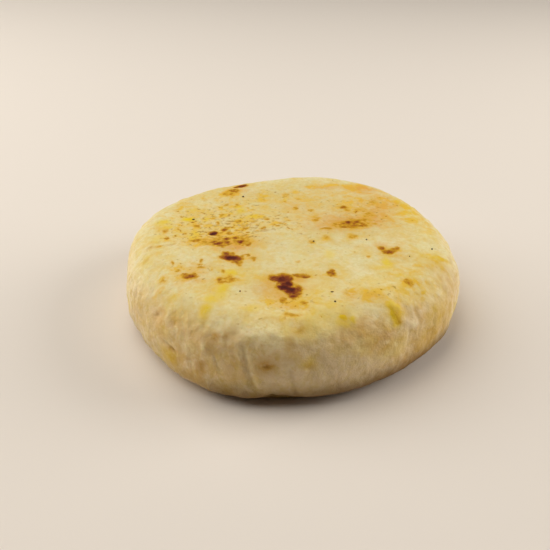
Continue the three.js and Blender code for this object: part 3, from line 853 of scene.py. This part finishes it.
def add_node(tree, kind, settings=None, inputs=(), output=0):
    """Adds a node, sets it up and fills its sockets, by name or in order, each with a value or a link.
    Gives back one of its outputs."""
    node = tree.nodes.new("ShaderNode" + kind)
    for name, value in (settings or {}).items():
        setattr(node, name, value)
    for name, value in inputs.items() if isinstance(inputs, dict) else enumerate(inputs):
        if isinstance(value, bpy.types.NodeSocket):
            tree.links.new(value, node.inputs[name])
        else:
            node.inputs[name].default_value = value
    return node.outputs[output] if node.outputs else None


def new_material(name):
    material = bpy.data.materials.new(name)
    material.use_nodes = True
    material.node_tree.nodes.clear()
    return material, material.node_tree


# Grain of the cooked meal: size in mm, detail, roughness and distortion. Ground corn is 0.3 to 0.6 mm
# across, which hardly shows, so the meal is drawn twice as coarse.
GRAINS = {
    "blotches": (9, 4, 0.6, 0.6),
    "patches": (3.2, 4, 0.6, 0.4),
    "specks": (2.1, 2, 0.55, 0),
    "fine_specks": (1.35, 1.5, 0.5, 0),
    "meal": (1.1, 3, 0.6, 0),
    "grit": (0.45, 2, 0.5, 0),
}
# A span, here and below, is the two values between which a grain or a level is read, and what it
# gives at either end.
DOUGH = "e8dba6"
# Tints of the dough, each laid over those before it: colour, the level that places it, if one does,
# its share there, and the grains that break it up, each with the span of what it leaves
TINTS = (
    ("e4d090", None, 1, (("blotches", 0.4, 0.62, 0, 1),)),
    ("e2c872", None, 1, (("patches", 0.5, 0.7, 0, 0.5),)),
    ("f2eac4", None, 1, (("meal", 0.5, 0.75, 0, 0.4),)),
    ("ceb46e", None, 1, (("meal", 0.5, 0.28, 0, 0.35),)),
    ("a6925e", "dulled", 0.3, ()),
    ("e8cc9a", "side", 0.7, ()),
    ("b8944e", "side", 1, (("meal", 0.5, 0.3, 0, 0.28),)),
    ("f8ecc8", "side", 1, (("meal", 0.5, 0.72, 0, 0.3),)),
    ("d2b44c", "side", 1, (("patches", 0.46, 0.64, 0, 0.44),)),
    ("d2b44c", "side", 1, (("blotches", 0.45, 0.6, 0, 0.22),)),
    ("e2ccaa", "ashen", 1, (("patches", 0.3, 0.6, 0.8, 0.5),)),
    ("e2b63e", "golden", 1, (("patches", 0.3, 0.66, 0.3, 1.4), ("specks", 0.35, 0.65, 0.6, 1.1))),
    ("dc9c4c", "haze", 1, (("patches", 0.35, 0.6, 0.6, 1.1),)),
    # blushes, some of them painted shade
    ("cf9c58", "blush_and_shade", 1, (("patches", 0.4, 0.6, 0.4, 0.9),)),
    ("e4c010", "corn", 1, (("meal", 0.2, 0.6, 0.8, 1.2),)),
    # stains, some of them painted shade
    ("bc860c", "stain_and_shade", 1, (("meal", 0.3, 0.6, 0.5, 0.9),)),
    ("7c5004", "scorched", 1, (("meal", 0.3, 0.6, 0.5, 0.9),)),
    # pale crumbs, some of them painted highlights
    ("f4e2ac", "crumb_and_highlight", 1, (("meal", 0.3, 0.6, 0.3, 0.8),)),
    # painted shade in the bottoms of the creases
    ("a07c48", "crease_painted_shade", 0.3, ()),
    # painted shade on the foot
    ("6e4a18", "foot_painted_shade", 0.85, ()),
)
# Freckles, where the skin only just touched the iron: the fine specks that stand over the bar
FRECKLE = "b08228"
FRECKLE_EDGE = (0, 0.16, 0, 1)  # span of how far a speck stands over the bar
FRECKLE_SHOWS = (0.4, 0.6, 0.45, 0.85)  # span of the blotches, for how much of a freckle shows
FRECKLE_TOASTED = (0.5, 0.66, 0, 0.5)  # span of the patches, for how far it is toasted
# The dough's browning, from raw to charred
BROWNING = (
    (0, "e6bc40"),
    (0.25, "d8a42a"),
    (0.42, "c49016"),
    (0.55, "b27408"),
    (0.66, "9a5808"),
    (0.77, "823808"),
    (0.88, "621e06"),
    (1, "480e04"),
)
BROWN_COVERS = (0.05, 0.42, 0, 1)  # span of the toasting over which it covers the dough's own tints
# Spans of the toasting, for how much the meal breaks it up: most where it is neither faint nor charred
BROKEN_UP = ((0.05, 0.4, 0, 1.1), (0.6, 0.9, 1, 0.5))
BLISTERED = (0.5, 0.85, 0, 1)  # span of the toasting over which the skin blisters
SKIN_ROUGHNESS = (0.3, 0.7, 0.52, 0.66)  # span of the patches
GRIT_SHARE = 0.3  # of the soft grain of the skin; the meal gives the rest
SKIN_GRAIN_DEPTH = 0.22  # in mm
BLISTER_DEPTH = 0.8
LIGHT_REACH = 2  # how far red light softens inside the skin, in mm

SMOOTH = {"interpolation_type": "SMOOTHSTEP"}
TIMES = {"operation": "MULTIPLY"}
TIMES_AND_PLUS = {"operation": "MULTIPLY_ADD"}
HELD_SUM = {"operation": "ADD", "use_clamp": True}
BLEND = {"data_type": "RGBA"}
BLENDED = 2  # the output of a Mix node that gives a colour; its inputs are 0, the share, 6 and 7


def tinted_dough(tree, grains, levels):
    """The dough's colour where it has no freckles and isn't toasted."""
    colour = linear(DOUGH)
    for tint, placed_by, share, breaks in TINTS:
        if placed_by:
            share = add_node(tree, "Math", TIMES, (levels[placed_by], share))
        for grain, *span in breaks:
            broken = add_node(tree, "MapRange", SMOOTH, (grains[grain], *span))
            share = add_node(tree, "Math", TIMES, (share, broken))
        colour = add_node(tree, "Mix", BLEND, {0: share, 6: colour, 7: linear(tint)}, BLENDED)
    return colour


def griddled_corn_dough(level_names):
    """Cooked white corn dough, patted by hand and browned on a griddle. The wet meal sets to a matt,
    slightly clear skin, so light softens inside it; it browns in ragged spots with golden rings,
    and where it touched the hottest iron it is charred a dark red-brown."""
    material, tree = new_material("griddled_corn_dough")
    place = add_node(tree, "TexCoord", output="Object")
    in_mm = {0: place, "Scale": 1 / TO_METRES}
    place = add_node(tree, "VectorMath", {"operation": "SCALE"}, in_mm)
    grains = {}
    for name, (size, detail, roughness, distortion) in GRAINS.items():
        grains[name] = add_node(tree, "TexNoise", None, {
            "Vector": place,
            "Scale": 1 / size,
            "Detail": detail,
            "Roughness": roughness,
            "Distortion": distortion,
        })
    levels = {}
    for name in level_names:
        levels[name] = add_node(tree, "Attribute", {"attribute_name": name}, output="Fac")
    dough = tinted_dough(tree, grains, levels)

    over_bar = (grains["fine_specks"], levels["freckle_bar"])
    over_bar = add_node(tree, "Math", {"operation": "SUBTRACT"}, over_bar)
    freckle = add_node(tree, "MapRange", SMOOTH, (over_bar, *FRECKLE_EDGE))
    share = add_node(tree, "MapRange", SMOOTH, (grains["blotches"], *FRECKLE_SHOWS))
    share = add_node(tree, "Math", TIMES, (freckle, share))
    dough = add_node(tree, "Mix", BLEND, {0: share, 6: dough, 7: linear(FRECKLE)}, BLENDED)
    share = add_node(tree, "MapRange", SMOOTH, (grains["patches"], *FRECKLE_TOASTED))
    freckle = add_node(tree, "Math", TIMES, (freckle, share))

    # Toasting, broken up by the mean of two grains less its middle value
    toast = add_node(tree, "Math", {"operation": "MAXIMUM"}, (levels["toast"], freckle))
    broken = add_node(tree, "Math", TIMES_AND_PLUS, (grains["meal"], 0.5, -0.5))
    broken = add_node(tree, "Math", TIMES_AND_PLUS, (grains["fine_specks"], 0.5, broken))
    for span in BROKEN_UP:
        share = add_node(tree, "MapRange", SMOOTH, (toast, *span))
        broken = add_node(tree, "Math", TIMES, (broken, share))
    browned = add_node(tree, "Math", HELD_SUM, (toast, broken))
    brown = add_node(tree, "ValToRGB", None, (browned,))
    stops = brown.node.color_ramp.elements
    for index, (level, tint) in enumerate(BROWNING):
        stop = stops[index] if index < len(stops) else stops.new(level)
        stop.position = level
        stop.color = linear(tint)
    share = add_node(tree, "MapRange", SMOOTH, (browned, *BROWN_COVERS))
    colour = add_node(tree, "Mix", BLEND, {0: share, 6: dough, 7: brown}, BLENDED)

    # Skin: soft grain all over, up to twice as deep on the wall, and blisters where it is charred
    grain = add_node(tree, "Math", TIMES, (grains["grit"], GRIT_SHARE))
    grain = add_node(tree, "Math", TIMES_AND_PLUS, (grains["meal"], 1 - GRIT_SHARE, grain))
    grain = add_node(tree, "Math", TIMES_AND_PLUS, (levels["side"], grain, grain))
    grain = {"Strength": 0.7, "Distance": SKIN_GRAIN_DEPTH * TO_METRES, "Height": grain}
    grain = add_node(tree, "Bump", None, grain)
    blister = add_node(tree, "MapRange", SMOOTH, (browned, *BLISTERED))
    blister = add_node(tree, "Math", TIMES, (grains["patches"], blister))
    blister = {"Strength": 0.5, "Distance": BLISTER_DEPTH * TO_METRES, "Height": blister, "Normal": grain}
    shader = add_node(tree, "BsdfPrincipled", {"subsurface_method": "RANDOM_WALK"}, {
        "Base Color": colour,
        "Roughness": add_node(tree, "MapRange", SMOOTH, (grains["patches"], *SKIN_ROUGHNESS)),
        "IOR": 1.4,
        "Specular IOR Level": 0.3,
        "Subsurface Weight": 0.3,
        "Subsurface Radius": (1, 0.6, 0.25),
        "Subsurface Scale": LIGHT_REACH * TO_METRES,
        "Normal": add_node(tree, "Bump", None, blister),
    })
    add_node(tree, "OutputMaterial", None, {"Surface": shader})
    return material


HULL_STREAK = 0.4  # in mm; the hull's fibres are far finer, and wouldn't show


def dark_corn_hull():
    """Dried outer hull of the corn, in torn bits: thin, dark olive-brown, streaked and nearly matt."""
    material, tree = new_material("dark_corn_hull")
    place = add_node(tree, "TexCoord", output="Object")
    streaks = add_node(tree, "TexNoise", None, {"Vector": place, "Scale": 1 / (HULL_STREAK * TO_METRES)})
    colour = {0: streaks, 6: linear("3a2a0c"), 7: linear("5a4214")}
    shader = add_node(tree, "BsdfPrincipled", None, {
        "Base Color": add_node(tree, "Mix", BLEND, colour, BLENDED),
        "Roughness": 0.85,
        "IOR": 1.45,
    })
    add_node(tree, "OutputMaterial", None, {"Surface": shader})
    return material


def pale_board():
    """Matt, pale, warm-white paper board: the floor."""
    material, tree = new_material("pale_board")
    shader = add_node(tree, "BsdfPrincipled", None, {
        "Base Color": linear("e6dacb"),
        "Roughness": 0.9,
        "Specular IOR Level": 0.2,
    })
    add_node(tree, "OutputMaterial", None, {"Surface": shader})
    return material


# --- Stage ---

CAMERA_TARGET = (-5.05, 17.15, 0)  # the point of the floor in the middle of view
CAMERA_DISTANCE = 256.3
CAMERA_PITCH = 30.13  # degrees below level
NEAREST = 10  # nothing nearer than this is seen
SENSOR = 36
LENS = 49.1
# From here on, lengths are metres
FLOOR_SIZE = 6
LIGHT_DISTANCE = 0.75
# Soft boxes: name, bearing and height above level in degrees, size, and strength
LIGHTS = (
    ("key", 158, 58, 1, 1.16),
    ("left_fill", 168, 12, 0.5, 0.37),
    ("right_fill", 8, 24, 0.5, 0.77),
)
WORLD_STRENGTH = 0.04
SKY_COLOUR = "fff6ea"


def put_floor():
    floor_shape = bmesh.new()
    bmesh.ops.create_grid(floor_shape, x_segments=1, y_segments=1, size=FLOOR_SIZE / 2)
    mesh = bpy.data.meshes.new("floor")
    floor_shape.to_mesh(mesh)
    floor_shape.free()
    mesh.materials.append(pale_board())
    floor = bpy.data.objects.new("floor", mesh)
    bpy.context.scene.collection.objects.link(floor)


def put_light(name, bearing, elevation, size, strength):
    """A square soft box that points at the cake. A strength of 1 lights a face turned to it fully."""
    lamp = bpy.data.lights.new(name, "AREA")
    lamp.size = size
    lamp.energy = strength * (math.pi * LIGHT_DISTANCE) ** 2
    light = bpy.data.objects.new(name, lamp)
    towards = Euler((0, -elevation * DEGREE, bearing * DEGREE)).to_matrix() @ Vector((1, 0, 0))
    light.location = towards * LIGHT_DISTANCE
    light.rotation_euler = towards.to_track_quat("Z", "Y").to_euler()
    bpy.context.scene.collection.objects.link(light)


def put_world():
    world = bpy.data.worlds.new("studio")
    world.use_nodes = True
    background = world.node_tree.nodes["Background"]
    background.inputs["Color"].default_value = linear(SKY_COLOUR)
    background.inputs["Strength"].default_value = WORLD_STRENGTH
    bpy.context.scene.world = world


def put_camera():
    lens = bpy.data.cameras.new("camera")
    lens.sensor_width = SENSOR
    lens.lens = LENS
    lens.clip_start = NEAREST * TO_METRES
    camera = bpy.data.objects.new("camera", lens)
    pitch = CAMERA_PITCH * DEGREE
    away = Vector((0, -math.cos(pitch), math.sin(pitch))) * CAMERA_DISTANCE
    camera.location = (Vector(CAMERA_TARGET) + away) * TO_METRES
    camera.rotation_euler = (QUARTER_TURN - pitch, 0, 0)
    bpy.context.scene.collection.objects.link(camera)
    bpy.context.scene.camera = camera


def put_piece(name, mesh, material):
    mesh.materials.append(material)
    piece = bpy.data.objects.new(name, mesh)
    bpy.context.scene.collection.objects.link(piece)
    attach(piece, "root")
    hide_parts("corn_cake")
    return piece


put_floor()
for light in LIGHTS:
    put_light(*light)
put_world()
put_camera()
bpy.context.scene.view_settings.view_transform = "Standard"

cake_mesh, level_names = make_cake()
fit_to_node(cake_mesh, "corn_cake")
cake = put_piece("arepa_cake", cake_mesh, griddled_corn_dough(level_names))
put_piece("arepa_hulls", make_hulls(cake), dark_corn_hull())
